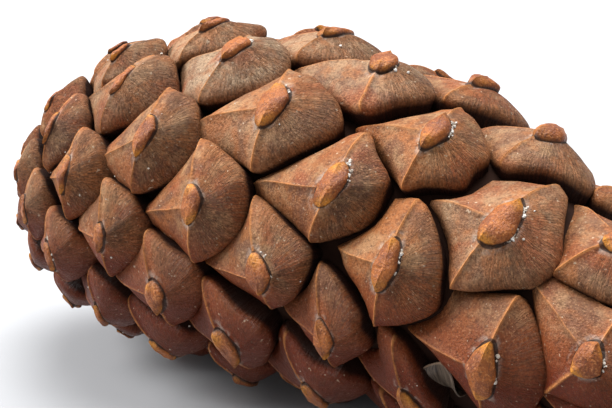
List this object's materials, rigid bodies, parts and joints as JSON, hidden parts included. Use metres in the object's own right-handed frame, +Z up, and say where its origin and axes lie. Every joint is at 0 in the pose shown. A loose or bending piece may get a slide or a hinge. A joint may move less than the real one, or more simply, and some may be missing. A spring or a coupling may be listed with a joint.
{
  "type": "pine cone",
  "caption": "Closed pine cone lying on its side: woody scales in spirals, each ending in a ridged shield with a raised knob.",
  "frame": {"origin": "middle of the cone's bounding box, at the surface it lies on", "axes": "+X from the stalk end towards the tip, +Z up, +Y to the left of the tip's direction"},
  "size_m": [0.0964, 0.037, 0.0363],
  "materials": {
    "scale_wood": "matte"
  },
  "bodies": {
    "root": {"cone": "scale_wood"}
  },
  "joints": []
}
